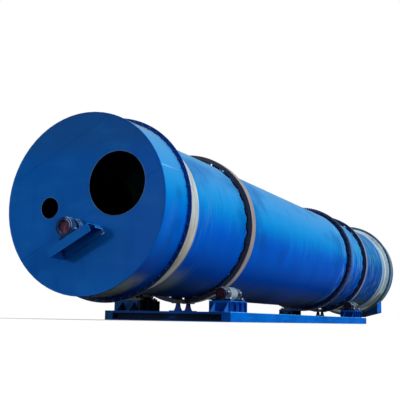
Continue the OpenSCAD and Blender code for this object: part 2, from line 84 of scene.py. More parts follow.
@dataclass(frozen=True)
class Shape:
    """A surface as arrays: one row for each vertex, and one row of four vertices for each face."""

    points: np.ndarray
    faces: np.ndarray

    def __add__(self, other: "Shape") -> "Shape":
        """Joins two surfaces into one: the second's faces count on from the first's vertices."""
        faces = np.vstack([self.faces, other.faces + len(self.points)])
        return Shape(np.vstack([self.points, other.points]), faces)

    def placed(self, places: np.ndarray) -> "Shape":
        """Repeats the surface at many places.

        Args:
            places: Matrices, one 4 x 4 for each copy.

        Returns:
            All copies as one surface: each vertex is the matrix times the vertex.
        """
        places = np.asarray(places, float).reshape(-1, 4, 4)
        turned = np.einsum("nij,kj->nki", places[:, :3, :3], self.points)
        points = turned + places[:, None, :3, 3]
        step = np.arange(len(places))[:, None, None] * len(self.points)
        return Shape(points.reshape(-1, 3), (self.faces[None] + step).reshape(-1, 4))

    def at(self, spot: Point, normal: Point = (0, 0, 1)) -> "Shape":
        """Puts the surface's origin at a spot and its Z along a normal."""
        return self.placed(place(spot, normal))


def joined(shapes: list[Shape]) -> Shape:
    """Joins a list of surfaces into one."""
    return sum(shapes[1:], shapes[0])


def grid(points: np.ndarray, looped: bool = False) -> Shape:
    """Joins a grid of points, whose columns close round, into four-sided faces.

    Args:
        points: Rows x columns x 3 coordinates.
        looped: Whether the last row joins the first too.

    Returns:
        The surface, its faces (i, j), (i, j + 1), (i + 1, j + 1), (i + 1, j), taken round at the ends.
    """
    rows, columns = points.shape[:2]
    i, j = np.meshgrid(np.arange(rows - (not looped)), np.arange(columns), indexing="ij")
    near, far = (i + 1) % rows, (j + 1) % columns
    corners = [i * columns + j, i * columns + far, near * columns + far, near * columns + j]
    return Shape(points.reshape(-1, 3), np.stack(corners, -1).reshape(-1, 4))


def capped(rows: np.ndarray) -> np.ndarray:
    """Closes a grid's open ends: adds a row at each, all of it at the end row's middle."""
    first, last = (end.mean(1, keepdims=True) + 0 * end for end in (rows[:1], rows[-1:]))
    return np.concatenate([first, rows, last])


def ring(x: float, radius: float, outline: Outline, waves: int = 0, depth: float = 0.0) -> Shape:
    """Turns a closed outline about the drum's axis.

    Args:
        x: The outline's origin along the axis.
        radius: Its origin's distance from the axis.
        outline: Corners as (along the axis, outwards) from the origin, joined in a loop.
        waves: Number of ripples round the ring.
        depth: Height of a ripple.

    Returns:
        The ring: x, radius * sin(angle), axis height + radius * cos(angle), where the radius
        gains depth * cos(waves * angle).
    """
    corners = np.asarray(outline, float) + (x, radius)
    angle = np.arange(RING_STEPS) / RING_STEPS * TURN
    out = corners[:, 1, None] + depth * np.cos(waves * angle)[None]
    along = np.repeat(corners[:, :1], RING_STEPS, 1)
    return grid(np.stack([along, out * np.sin(angle), AXIS_Z + out * np.cos(angle)], -1), True)


def lathe(profile: Outline, steps: int = 24, sides: int = 0) -> Shape:
    """Turns an open outline about Z into a closed solid, as for a bolt or a cap.

    Args:
        profile: Corners as (radius, z) from the axis back to the axis.
        steps: Number of steps round the axis.
        sides: Number of flats, or 0 for a round one.

    Returns:
        The solid: radius * cos(angle), radius * sin(angle), z, where a flat's radius is divided by
        the cosine of the angle from its middle.
    """
    outline = np.asarray(profile, float)
    angle = np.arange(steps) / steps * TURN
    flat = np.ones(steps)
    if sides:
        half = pi / sides
        flat = 1 / np.cos((angle + half) % (2 * half) - half)
    radius = outline[:, :1] * flat[None]
    height = np.repeat(outline[:, 1:], steps, 1)
    return grid(np.stack([radius * np.cos(angle), radius * np.sin(angle), height], -1))


def carried(path: np.ndarray, outline: np.ndarray, up: Point, closed: bool = False) -> Shape:
    """Carries an outline along a path.

    Args:
        path: Points of the path.
        outline: Closed outline as (sideways, upwards) rows.
        up: The direction that stays upwards.
        closed: Whether the path's end joins its start.

    Returns:
        The bar: path point + sideways * side + upwards * above, where side is the path's direction
        crossed with up. An open path's end rows are drawn together to close it.
    """
    ahead = np.roll(path, -1, 0) - np.roll(path, 1, 0) if closed else np.gradient(path, axis=0)
    ahead /= np.linalg.norm(ahead, axis=1, keepdims=True)
    side = np.cross(ahead, np.asarray(up, float))
    side /= np.linalg.norm(side, axis=1, keepdims=True)
    above = np.cross(side, ahead)
    rows = path[:, None] + side[:, None] * outline[None, :, :1] + above[:, None] * outline[None, :, 1:]
    return grid(rows if closed else capped(rows), closed)


def bead_outline(width: float, height: float, steps: int = 8) -> np.ndarray:
    """A weld bead's outline: half an ellipse, width * cos(a) / 2 by height * sin(a), on a flat foot."""
    angle = np.linspace(0, pi, steps)
    return np.stack([width / 2 * np.cos(angle), height * np.sin(angle)], -1)


def weld(start: Point, end: Point, width: float, height: float, up: Point) -> Shape:
    """A straight weld bead.

    Args:
        start: One end.
        end: The other end.
        width: Width of the bead.
        height: Height of the bead.
        up: The direction that it stands up in.

    Returns:
        The bead: its outline carried along start + t * (end - start), with t from 0 to 1.
    """
    a, b = np.array([start, end], float)
    steps = max(4, int(np.linalg.norm(b - a) / WELD_STEP))
    path = a + np.linspace(0, 1, steps)[:, None] * (b - a)
    return carried(path, bead_outline(width, height), up)


def place(spot: Point, normal: Point = (0, 0, 1), roll: float = 0.0) -> np.ndarray:
    """A 4 x 4 matrix: origin to a spot, Z along a normal, and a turn of roll radians about that."""
    turn = Vector(normal).to_track_quat("Z", "Y").to_matrix().to_4x4()
    return np.array(Matrix.Translation(spot) @ turn @ Matrix.Rotation(roll, 4, "Z"))


def out_from_axis(angle: float) -> Point:
    """The direction out from the drum's axis at an angle from straight up towards +Y."""
    return (0.0, sin(angle), cos(angle))


def on_drum(x: float, angle: float, radius: float) -> Point:
    """The point at x and an angle from straight up that stands radius out from the drum's axis."""
    return (x, radius * sin(angle), AXIS_Z + radius * cos(angle))


def around(count: int, x: float, radius: float, facing: End, start: float = 0.0) -> np.ndarray:
    """Matrices of places spaced evenly round the drum's axis on a flat face, the first at start."""
    angles = [start + i / count * TURN for i in range(count)]
    return np.array([place(on_drum(x, a, radius), facing.outward, a) for a in angles])


def bolt(width: float, height: float, washer: float = 0.0) -> Shape:
    """A hexagon head on a washer, its top fifth drawn in.

    Args:
        width: Distance across the flats.
        height: Height of the head.
        washer: Thickness of the washer, or 0 for none.

    Returns:
        The bolt head, standing on the XY plane.
    """
    r, edge, top = width / 2, washer + height * 0.8, washer + height
    head = lathe(((0, washer), (r, washer), (r, edge), (r * 0.86, top), (0, top)), 12, 6)
    if not washer:
        return head
    rim = width * 0.95
    return lathe(((0, 0), (rim, 0), (rim, washer), (0, washer)), 16) + head


def block(size: Point, bevel: float) -> Shape:
    """A bevelled block that stands on the XY plane.

    Args:
        size: Its length, width and height.
        bevel: How far its edges are cut back.

    Returns:
        The block: rows of eight corners from the foot's middle, out, up, and in to the top's middle.
    """
    w, d, h, c = size[0] / 2, size[1] / 2, size[2], bevel
    rows = [[(0, 0, 0)] * 8]
    for inset, z in ((c, 0), (0, c), (0, h - c), (c, h)):
        a, b = w - inset, d - inset
        rows.append([(a, c - b, z), (a, b - c, z), (a - c, b, z), (c - a, b, z),
                     (-a, b - c, z), (-a, c - b, z), (c - a, -b, z), (a - c, -b, z)])
    return grid(np.array([*rows, [(0, 0, h)] * 8], float))


def hoop(inner: float, outer: float, height: float) -> Shape:
    """A flat hoop that stands on the XY plane, its upper edges cut off by a third of its height."""
    c = height / 3
    return lathe(((inner, 0), (inner, height - c), (inner + c, height), (outer - c, height),
                  (outer, height - c), (outer, 0), (inner, 0)), 64)


def arched(path: np.ndarray, width: float, height: float) -> Shape:
    """A flat bar bent along an arc about the X axis.

    Args:
        path: Points of the arc.
        width: Width of the bar along X.
        height: How far it stands out from the arc.

    Returns:
        The bar: path point + corner's x + corner's height * the direction out from the X axis.
    """
    foot, edge, w = -0.004, 0.002, width / 2
    out = path * (0, 1, 1)
    out /= np.linalg.norm(out, axis=1, keepdims=True)
    corners = np.array([(-w, foot), (-w, height - edge), (edge - w, height), (w - edge, height),
                        (w, height - edge), (w, foot)])
    return grid(capped(path[:, None] + corners[:, :1] * (1, 0, 0) + out[:, None] * corners[:, 1:]))


# ---- finishes ----


PAINTED: dict[str, bpy.types.Material] = {}
FAR = 9.0  # past every face of the dryer, in metres
DRIFT_FADE = (0.35, 0.68)
ROUGH_SPREAD = 0.12
ROUGH_NOISE = (9, 3.0, 3.0)  # scale, detail and start of a noise
WAVE_NOISE = (1.6, 2.0, 19.0)
GRAIN_NOISE = (3.0, 11.0)  # detail and start
BUMP = 0.001  # metres of relief
WAVE = {"Strength": 0.2, "Distance": 0.02}
DRIFT_DETAIL = 4.0
LAYER_DETAIL = 5.0
LAYER_STEP = 7.3  # how far apart two layers' noises start


class Axis(Enum):
    """What a zone of a finish is measured along."""

    X = 0
    Y = 1
    Z = 2
    RADIUS = 3


X, Y, Z, RADIUS = Axis


@dataclass(frozen=True)
class Zone:
    """A stretch where a layer lies: fully from low to high, and fading out over fade past them."""

    axis: Axis
    low: float
    high: float
    fade: float


@dataclass(frozen=True)
class Layer:
    """A layer over a finish, in patches or whole, for marks of dirt, wear and rust, for streaks, and for
    painted highlights and painted shade: noise that fades in between low and high.
    """

    colour: str
    scale: Scale
    low: float
    high: float
    cover: float
    zones: tuple[Zone, ...]
    rough: float | None


@dataclass(frozen=True)
class Finish:
    """A paint or metal: two tones that drift into each other, layers over them, and a grain."""

    name: str
    tone: str
    drift: str
    rough: float = 0.5
    gloss: float = 0.0
    metal: float = 0.0
    coat: float = 0.0
    sheen: float = 0.0
    spread: Scale = 0.7
    grain: float = 220
    grain_depth: float = 0.15
    layers: tuple[Layer, ...] = ()

    def stained(self, *layers: Layer) -> "Finish":
        """The same finish with more layers on top."""
        return replace(self, layers=self.layers + layers)

    def made(self) -> bpy.types.Material:
        """Makes the material the first time that it is asked for.

        Returns:
            The one material of this name.
        """
        if self.name not in PAINTED:
            PAINTED[self.name] = Painter(self).painted()
        return PAINTED[self.name]


def above(axis: Axis, low: float, fade: float) -> Zone:
    """Everything past low."""
    return Zone(axis, low, FAR, fade)


def below(axis: Axis, high: float, fade: float) -> Zone:
    """Everything short of high."""
    return Zone(axis, -FAR, high, fade)


def stain(
    colour: str, scale: Scale, low: float, high: float, cover: float, *zones: Zone,
    rough: float | None = None,
) -> Layer:
    """A layer in patches, which lies only in its zones."""
    return Layer(colour, scale, low, high, cover, zones, rough)


def tint(colour: str, cover: float, *zones: Zone, rough: float | None = None) -> Layer:
    """A layer that covers the whole of its zones, because all noise is past its low and high."""
    return stain(colour, 1, -1.0, -0.5, cover, *zones, rough=rough)


def srgb(screen: str) -> Colour:
    """The linear colour of "#rrggbb": c / 12.92, or past 0.04 ((c + 0.055) / 1.055) ^ 2.4."""
    c = np.frombuffer(bytes.fromhex(screen[1:]), np.uint8) / 255
    return tuple(np.where(c <= 0.04045, c / 12.92, ((c + 0.055) / 1.055) ** 2.4).tolist())


class Graph:
    """A node tree that is filled from nothing."""

    def __init__(self, tree: bpy.types.NodeTree) -> None:
        """Clears the tree."""
        self.tree = tree
        tree.nodes.clear()

    def node(self, kind: str, inputs: dict, **settings: str) -> bpy.types.bpy_prop_collection:
        """Adds a node.

        Args:
            kind: Its type, after the words "ShaderNode".
            inputs: A value or another node's output for each input, by its name or number.
            **settings: Its own settings.

        Returns:
            The node's outputs.
        """
        made = self.tree.nodes.new("ShaderNode" + kind)
        for key, value in settings.items():
            setattr(made, key, value)
        for key, value in inputs.items():
            if isinstance(value, Socket):
                self.tree.links.new(value, made.inputs[key])
            else:
                made.inputs[key].default_value = value
        return made.outputs

    def sum(self, operation: str, *terms: Term) -> Socket:
        """One step of arithmetic on values or outputs."""
        return self.node("Math", dict(enumerate(terms)), operation=operation)[0]

    def mixed(self, cover: Term, under: Colour | Socket, over: Colour | Socket) -> Socket:
        """Mixes two linear colours, or outputs, by a cover from 0 to 1."""
        under, over = (c if isinstance(c, Socket) else (*c, 1) for c in (under, over))
        return self.node("Mix", {0: cover, 6: under, 7: over}, data_type="RGBA")[2]

    def background_ray(self) -> Socket:
        """Tells the rays that show the background from those that light the dryer.

        Returns:
            1 for a ray from the camera, or off or through a glossy surface, and otherwise 0.
        """
        ray = self.node("LightPath", {})
        seen = self.sum("MAXIMUM", ray["Is Camera Ray"], ray["Is Glossy Ray"])
        return self.sum("MAXIMUM", seen, ray["Is Transmission Ray"])


class Painter(Graph):
    """Builds one finish as a node tree."""

    def __init__(self, finish: Finish) -> None:
        """Starts an empty material.

        Args:
            finish: The finish that it is for.
        """
        self.finish = finish
        self.material = bpy.data.materials.new(finish.name)
        self.material.use_nodes = True
        super().__init__(self.material.node_tree)
        self.place = self.node("TexCoord", {})["Object"]
        self.axes = self.node("SeparateXYZ", {"Vector": self.place})

    def noise(self, scale: Scale, detail: float, offset: float = 0.0) -> Socket:
        """Adds a noise.

        Args:
            scale: Its scale, whose last number stands for the axes that it leaves out.
            detail: Its detail.
            offset: Where it starts, so that two noises differ.

        Returns:
            Its value.
        """
        scale = scale if isinstance(scale, tuple) else (scale,)
        scale = (scale + scale[-1:] * 2)[:3]
        spread = self.node("Mapping", {"Vector": self.place, "Scale": scale, "Location": (offset,) * 3})
        return self.node("TexNoise", {"Vector": spread[0], "Scale": 1.0, "Detail": detail})[0]

    def fade(self, value: Term, low: float, high: float) -> Socket:
        """Runs smoothly from 0 where the value is low to 1 where it is high."""
        inputs = {"Value": value, "From Min": low, "From Max": high}
        return self.node("MapRange", inputs, interpolation_type="SMOOTHSTEP")[0]

    def along(self, axis: Axis) -> Socket:
        """Finds the coordinate that a zone is measured along.

        Args:
            axis: The axis, or the radius about the drum's axis.

        Returns:
            The coordinate; the radius is sqrt(y * y + height * height), height from the drum's axis.
        """
        if axis is not RADIUS:
            return self.axes[axis.value]
        height = self.sum("SUBTRACT", self.axes["Z"], AXIS_Z)
        squares = self.sum("POWER", self.axes["Y"], 2.0), self.sum("MULTIPLY", height, height)
        return self.sum("SQRT", self.sum("ADD", *squares))

    def zone(self, zone: Zone) -> Socket:
        """Works out where a zone is.

        Args:
            zone: The zone.

        Returns:
            1 inside it and 0 outside, faded at both ends.
        """
        value = self.along(zone.axis)
        rise = self.fade(value, zone.low - zone.fade, zone.low)
        return self.sum("MULTIPLY", rise, self.fade(value, zone.high + zone.fade, zone.high))

    def nearer(self, value: Term, aim: float, cover: Term) -> Socket:
        """Moves a value towards an aim by a cover from 0 to 1."""
        return self.sum("ADD", value, self.sum("MULTIPLY", self.sum("SUBTRACT", aim, value), cover))

    def painted(self) -> bpy.types.Material:
        """Lays the tones, the layers and the grain, and joins them to the shader.

        Returns:
            The material.
        """
        f = self.finish
        drifting = self.fade(self.noise(f.spread, DRIFT_DETAIL), *DRIFT_FADE)
        tone = self.mixed(drifting, srgb(f.tone), srgb(f.drift))
        spread = self.sum("MULTIPLY", self.noise(*ROUGH_NOISE), ROUGH_SPREAD)
        rough = self.sum("ADD", f.rough - ROUGH_SPREAD / 2, spread)
        for i, layer in enumerate(f.layers, 1):
            patches = self.noise(layer.scale, LAYER_DETAIL, LAYER_STEP * i)
            cover = self.sum("MULTIPLY", self.fade(patches, layer.low, layer.high), layer.cover)
            for zone in layer.zones:
                cover = self.sum("MULTIPLY", cover, self.zone(zone))
            tone = self.mixed(cover, tone, srgb(layer.colour))
            if layer.rough is not None:
                rough = self.nearer(rough, layer.rough, cover)
        grain = {"Strength": f.grain_depth, "Distance": BUMP, "Height": self.noise(f.grain, *GRAIN_NOISE)}
        waves = WAVE | {"Height": self.noise(*WAVE_NOISE)}
        bump = self.node("Bump", waves | {"Normal": self.node("Bump", grain)[0]})
        shader = self.node("BsdfPrincipled", {
            "Base Color": tone, "Roughness": rough, "Metallic": f.metal, "Normal": bump[0],
            "Specular IOR Level": f.gloss, "Coat Weight": f.coat, "Coat Roughness": 0.25,
            "Sheen Weight": f.sheen, "Sheen Roughness": 0.35, "Sheen Tint": (0.05, 0.7, 1.0, 1),
        })
        self.node("OutputMaterial", {"Surface": shader[0]})
        return self.material


DUST = "#b8c4b8"
# Near-black, laid as grime and as painted shade on the stands and in the cross beams' recess.
GRIME_AND_SHADE = "#0a1422"
RUST = "#703e28"
BELLY = below(Z, 0.56, 0.34)
# The upper part, where lighter streaks are laid as a painted highlight.
UPPER_HIGHLIGHT_ZONE = above(Z, 1.9, 0.9)
TREAD = above(RADIUS, 1.459, 0.002)
SHELF_TOP = Zone(X, -8.385, -8.0, 0.004)
# Grey-blue dust on the very top, which also serves as a painted highlight where sky light falls.
TOP_DUST_AND_HIGHLIGHT = stain("#8c9eaa", (0.8, 1.5), 0.0, 0.7, 0.7, above(Z, 3.1, 0.35))
# Painted light and shade: the top is tinted lighter and more cyan, where sky light and its reflection
# fall, and the bottom a deeper blue, where shade falls.
PAINTED_TOP_LIGHT_BOTTOM_SHADE = (
    tint("#008cde", 0.95, above(Z, 2.16, 0.7)),
    tint("#3290de", 0.9, above(Z, 2.5, 0.65)),
    tint("#6096ca", 0.5, above(Z, 2.9, 0.75)),
    tint("#0040ba", 0.8, below(Z, 0.7, 0.6)),
)

DRUM = Finish("drum_blue", "#005ede", "#0052d2", rough=0.46, coat=0.03, sheen=0.025).stained(
    *PAINTED_TOP_LIGHT_BOTTOM_SHADE,
    # Lighter streaks on the upper part: painted highlight.
    stain("#148ce2", (5, 0.6), 0.5, 0.74, 0.35, UPPER_HIGHLIGHT_ZONE),
    stain("#02429c", (0.7, 1.1), 0.5, 0.72, 0.45),
    stain("#0a3e90", (30, 1.4), 0.58, 0.72, 0.35),
    stain("#60a0d6", (12, 1.2), 0.5, 0.7, 0.22, Zone(X, -6.7, -6.2, 0.4)),
    stain("#82bee8", (14, 2.2), 0.5, 0.62, 0.55, Zone(X, 2.5, 2.72, 0.15)),
    # Lighter patches on the upper rear part: painted highlight.
    stain("#6eb0e2", (9, 0.9), 0.46, 0.66, 0.45, Zone(X, 3.1, 7.4, 0.1), UPPER_HIGHLIGHT_ZONE),
    tint("#04469e", 0.45, above(X, 4.95, 0.1)),
    stain("#14284c", (12, 1.6), 0.5, 0.64, 0.6, Zone(X, 4.95, 7.6, 0.2)),
    stain("#082868", (4, 2.2), 0.48, 0.62, 0.55, above(X, 3.1, 0.1), below(Z, 1.6, 0.8)),
    stain("#6096c4", (5, 2.6), 0.54, 0.68, 0.4, above(X, 3.1, 0.1)),
    TOP_DUST_AND_HIGHLIGHT,
    stain("#56768c", 1.5, 0.1, 0.5, 0.4, below(Z, 0.48, 0.4), rough=0.8),
    stain(DUST, (1.8, 1.3), 0.16, 0.6, 0.62, below(Z, 0.5, 0.45), Zone(X, -6.9, -6.5, 0.6), rough=0.8),
    stain(DUST, (1.8, 1.2), 0.5, 0.68, 0.18, BELLY, Zone(X, 1.8, 5.0, 0.8), rough=0.8),
    stain("#60685c", (1.8, 1.3), 0.3, 0.56, 0.75, BELLY, above(X, 5.3, 0.6), rough=0.8),
    stain("#503c32", 16, 0.7, 0.74, 0.3, rough=0.85),
)
PLATE = Finish("plate_blue", "#146ac8", "#0e62be", rough=0.55, coat=0.015).stained(
    tint("#0e5ec2", 0.7, below(Y, -0.95, 0.3)),
    tint("#1e5aa4", 0.8, above(Z, 2.9, 0.5)),
    stain("#247ace", (1.1, 1.1, 3.2), 0.5, 0.72, 0.3),
    stain("#0250a6", (1, 2.6, 1), 0.52, 0.72, 0.35),
    stain(RUST, 17, 0.72, 0.76, 0.4, rough=0.85),
)
SHELF_BLUE = replace(PLATE, name="shelf_blue").stained(
    # Painted shade on the shelf's left end.
    tint("#042e7e", 0.85, SHELF_TOP, above(Y, 0.3, 0.02)),
    # Painted highlight: light patches on the shelf's right end.
    stain("#aac8f0", 14, 0.34, 0.52, 0.8, SHELF_TOP, below(Y, -0.37, 0.006), rough=0.4),
)
HOOD = Finish("hood_blue", "#0068e2", "#005cd6", rough=0.42, coat=0.05, sheen=0.025).stained(
    *PAINTED_TOP_LIGHT_BOTTOM_SHADE,
    # Lighter streaks on the upper part: painted highlight.
    stain("#46a0e2", (3, 0.7), 0.5, 0.72, 0.3, UPPER_HIGHLIGHT_ZONE),
    TOP_DUST_AND_HIGHLIGHT,
    stain("#02469c", (2, 1.2), 0.54, 0.72, 0.4),
    stain(DUST, (2.4, 1.6), 0.22, 0.52, 0.85,
          Zone(Z, 0.38, 0.48, 0.26), Zone(X, -8.2, -7.72, 0.28), rough=0.8),
    stain(RUST, 16, 0.71, 0.75, 0.5, rough=0.85),
)
REAR_HOOD = Finish("rear_hood_worn", "#4e788e", "#2e6086", coat=0.05).stained(
    stain("#0a68cc", (4, 1.4), 0.46, 0.62, 0.7),
    stain("#96aebc", (14, 1.2), 0.48, 0.66, 0.5),
    stain("#3c4642", (3, 2), 0.3, 0.56, 0.7, below(Z, 0.6, 0.5)),
    stain(RUST, 16, 0.7, 0.75, 0.4, rough=0.85),
)
FRAME_BLUE = Finish("frame_blue", "#0066d6", "#005ac4", coat=0.025, spread=(1.5, 2, 3)).stained(
    stain("#148ce6", (1.2, 7, 14), 0.56, 0.74, 0.4),
    stain("#023c8c", (2.2, 6, 9), 0.56, 0.72, 0.4),
    # Painted highlight: a light line along the beams' top edge, where light catches it.
    stain("#5abefa", (5, 30), 0.3, 0.46, 0.7, Zone(Z, 0.174, 0.186, 0.003), rough=0.4),
)
# Painted light and shade: the stands' panels are a darker blue for the shade under the top plate, and the
# gussets, the front plate and the top plate are tinted lighter where light falls; dark patches of grime
# lie over it.
STAND_LIGHT_AND_SHADE = Finish("stand_blue_light_and_shade", "#0642a0", "#023284", coat=0.04, spread=4).stained(
    tint("#2460ba", 0.9, Zone(X, -6.0, -4.905, 0.01)),
    tint("#0e4cac", 0.9, Zone(X, -4.9, -4.882, 0.004)),
    tint("#0c74e0", 0.9, Zone(Z, 0.352, 0.6, 0.004)),
    stain(GRIME_AND_SHADE, (5, 5, 9), 0.52, 0.7, 0.35),
    stain("#5a96dc", 24, 0.64, 0.72, 0.4),
)
# Painted shade for the stands, wings and side beam that lie in the drum's shadow: dark blue with
# near-black patches, darker still on faces short of Y 0.8.
STAND_PAINTED_SHADE = Finish("stand_painted_shade", "#1a5890", "#12487a", rough=0.7, coat=0.02, spread=3).stained(
    stain("#06121e", (6, 3, 4), 0.46, 0.64, 0.6),
    tint("#081628", 0.8, below(Y, 0.8, 0.004)),
    stain("#46545c", 14, 0.6, 0.72, 0.4),
)
CHANNEL = Finish("channel_blue", "#1a509c", "#164488", rough=0.55, coat=0.02, spread=(1.5, 2, 3)).stained(
    tint("#025cc6", 0.8, below(Y, -0.3, 0.6)),
    # Painted shade: the web under the top flange is darkened nearly all over.
    stain(GRIME_AND_SHADE, (4, 1.5, 6), 0.2, 0.42, 0.92, Zone(Z, 0.02, 0.138, 0.008), rough=0.85),
    stain("#023278", (3, 2, 9), 0.5, 0.66, 0.5, Zone(Z, 0.05, 0.09, 0.02)),
)
BAND = Finish("band_worn_steel", "#cad5e2", "#aebac8", metal=0.1, gloss=0.4, spread=(5, 1.1)).stained(
    stain("#78705c", (18, 1.6), 0.46, 0.62, 0.6, rough=0.6),
    stain("#d0d8ce", (34, 0.9), 0.5, 0.66, 0.6, rough=0.45),
    stain("#7896be", (8, 1.3), 0.52, 0.7, 0.4),
    stain("#9e9076", (7, 1.2), 0.2, 0.6, 0.7, below(Z, 1.2, 0.7)),
    stain("#54585c", (7, 2.4), 0.4, 0.64, 0.5, below(Z, 0.8, 0.6)),
    stain(RUST, (9, 5), 0.64, 0.74, 0.6, rough=0.85),
)
BAND_REAR = replace(BAND, name="band_rear_worn", tone="#789ebe", drift="#5c84ac", layers=()).stained(
    stain("#1e68ba", (26, 1.1), 0.46, 0.6, 0.6),
    stain("#e0eef8", (1, 1.4), 0.24, 0.5, 0.75, Zone(X, 7.88, 8.05, 0.05)),
    stain("#e2eef6", (38, 1), 0.54, 0.64, 0.5),
    stain("#586054", (5, 2), 0.4, 0.6, 0.7, below(Z, 0.9, 0.5)),
)
TYRE = Finish("tyre_forged", "#364660", "#3c4252", rough=0.62, gloss=0.15, spread=(6, 2.4)).stained(
    stain("#4e3c32", (3, 5), 0.54, 0.68, 0.45, rough=0.8),
    tint("#8a8084", 1.0, TREAD, rough=0.5),
    stain("#beb4bc", (46, 0.8), 0.5, 0.6, 0.7, TREAD, rough=0.4),
    stain("#70544a", (22, 1.8), 0.52, 0.64, 0.55, TREAD, rough=0.7),
    stain("#928e7a", (30, 2.6), 0.56, 0.66, 0.4, TREAD, rough=0.6),
)
TYRE_REAR = replace(TYRE, name="tyre_rear_forged", tone="#0e2c5c", drift="#162848", layers=()).stained(
    stain("#3c3e4a", (3, 5), 0.56, 0.7, 0.4, rough=0.8),
    tint("#4e5e86", 1.0, TREAD, rough=0.5),
    stain("#a0aecc", (46, 0.8), 0.5, 0.6, 0.5, TREAD, rough=0.4),
    stain("#564646", (22, 1.8), 0.54, 0.66, 0.4, TREAD, rough=0.7),
)
NAVY = Finish("navy_paint", "#043e96", "#043280", gloss=0.05, spread=3).stained(
    stain("#223e54", (4, 2), 0.2, 0.5, 0.75, below(Z, 0.7, 0.4)),
    stain("#182234", (5, 3), 0.48, 0.66, 0.6, rough=0.65),
    stain("#546e8c", (26, 18), 0.64, 0.74, 0.5, rough=0.7),
)
GEAR = Finish("gear_grease", "#022462", "#082e70", gloss=0.15, spread=4).stained(
    stain("#0a101c", (8, 5), 0.46, 0.62, 0.7),
    stain("#2c4876", (22, 9), 0.6, 0.72, 0.5, rough=0.6),
)
SHOE = Finish("shoe_navy", "#041a42", "#08142c", rough=0.7, gloss=0.1, spread=8).stained(
    stain("#3c3e46", 20, 0.58, 0.7, 0.4),
)
REAR_GREEN = Finish(
    "flange_grey_green", "#54748a", "#3e5c74", rough=0.55, gloss=0.15, spread=(3, 1.5)
).stained(
    stain("#96b2c6", (9, 1.6), 0.52, 0.7, 0.5, rough=0.7),
    stain("#224048", (6, 3), 0.5, 0.66, 0.5),
    stain("#bed0dc", (4, 2), 0.2, 0.5, 0.7, above(RADIUS, 1.523, 0.003)),
    stain("#304646", (3, 2), 0.2, 0.6, 0.65, below(Z, 0.7, 0.5)),
    stain(RUST, 10, 0.66, 0.74, 0.4, rough=0.85),
)
CAST = Finish(
    "bearing_grey", "#304468", "#1c2e50", gloss=0.1, spread=6, grain=420, grain_depth=0.3
).stained(
    stain("#8298ba", 9, 0.56, 0.68, 0.6, rough=0.45),
    stain("#0e1422", 12, 0.54, 0.68, 0.6, rough=0.7),
    stain(RUST, 30, 0.66, 0.74, 0.5, rough=0.85),
    # Painted shade on the front housings' front faces.
    tint("#08122c", 0.8, Zone(X, -4.86, -4.835, 0.002), rough=0.8),
    # Painted shade on the rear station's housings.
    tint("#081228", 0.8, above(X, 0.0, 0.1), rough=0.7),
)
# Light rims, as worn edges and as a painted highlight; the low rims and the left-hand ones are darkened
# as painted shade.
RIM_WEAR_AND_HIGHLIGHT = Finish("rim_wear_and_highlight", "#a0b4d4", "#7a92bc", rough=0.4, metal=0.2, gloss=0.5, spread=9).stained(
    stain("#283658", 14, 0.56, 0.66, 0.7, rough=0.6),
    tint("#0e1a34", 0.9, below(Z, 0.52, 0.03), rough=0.8),
    tint("#0e1a34", 0.9, above(Y, -0.94, 0.03), rough=0.8),
)
SHELF_RIM = Finish("shelf_rim", "#244274", "#18305c", gloss=0.05, spread=9).stained(
    # Painted highlight on the upper right of the rims.
    stain("#96b6e2", 9, 0.3, 0.5, 0.8, below(Y, 0.02, 0.05), above(Z, 1.4, 0.05), rough=0.4),
)
KEEPER = Finish("keeper_plate", "#122850", "#1e3254", rough=0.6, gloss=0.2, spread=12).stained(
    stain("#8096b8", 7, 0.46, 0.54, 0.8, rough=0.4),
)
SHELF_CAST = Finish(
    "shelf_bearing_blue", "#1e4886", "#103064", gloss=0.04, spread=6, grain=420, grain_depth=0.3
).stained(
    stain("#78aadc", 9, 0.56, 0.7, 0.5, rough=0.45),
    stain("#182842", 9, 0.52, 0.68, 0.6, rough=0.7),
    # Painted shade on the housings' front face.
    tint("#0e2248", 0.75, Zone(X, -8.41, -8.4, 0.004)),
)
CAP_RED = Finish("cap_red", "#6a364a", "#543248", rough=0.6, gloss=0.05, spread=12).stained(
    stain("#9c748c", (10, 60, 9), 0.52, 0.64, 0.55, rough=0.6),
    stain("#181e38", (9, 44, 12), 0.52, 0.66, 0.65, rough=0.7),
)
CAP_DARK = Finish("cap_dark_red", "#62262c", "#48222a", rough=0.6, gloss=0.08, spread=12).stained(
    stain("#22141a", (14, 30, 14), 0.5, 0.64, 0.7, rough=0.7),
    # Painted shade on the rear station's caps.
    tint("#181624", 0.7, above(X, 0.0, 0.1), rough=0.7),
)
MACHINED = Finish(
    "roller_turned", "#889ca8", "#6c8294", rough=0.45, metal=0.2, gloss=0.35, spread=(9, 5)
).stained(
    stain("#b0bec4", (90, 4), 0.48, 0.62, 0.5, rough=0.35),
    stain("#3e566e", (16, 8), 0.5, 0.66, 0.55, rough=0.65),
    # Painted shade on the rear station's rollers.
    tint("#183650", 0.9, above(X, 0.0, 0.1), rough=0.6),
)
# Dark oily steel, also used as painted shade on the left-hand bearings and rollers.
OIL_AND_SHADE = Finish("thrust_roller_steel", "#303238", "#22242a", metal=0.2, gloss=0.3, spread=9).stained(
    stain("#544c44", (12, 12, 40), 0.54, 0.68, 0.5, rough=0.65),
)
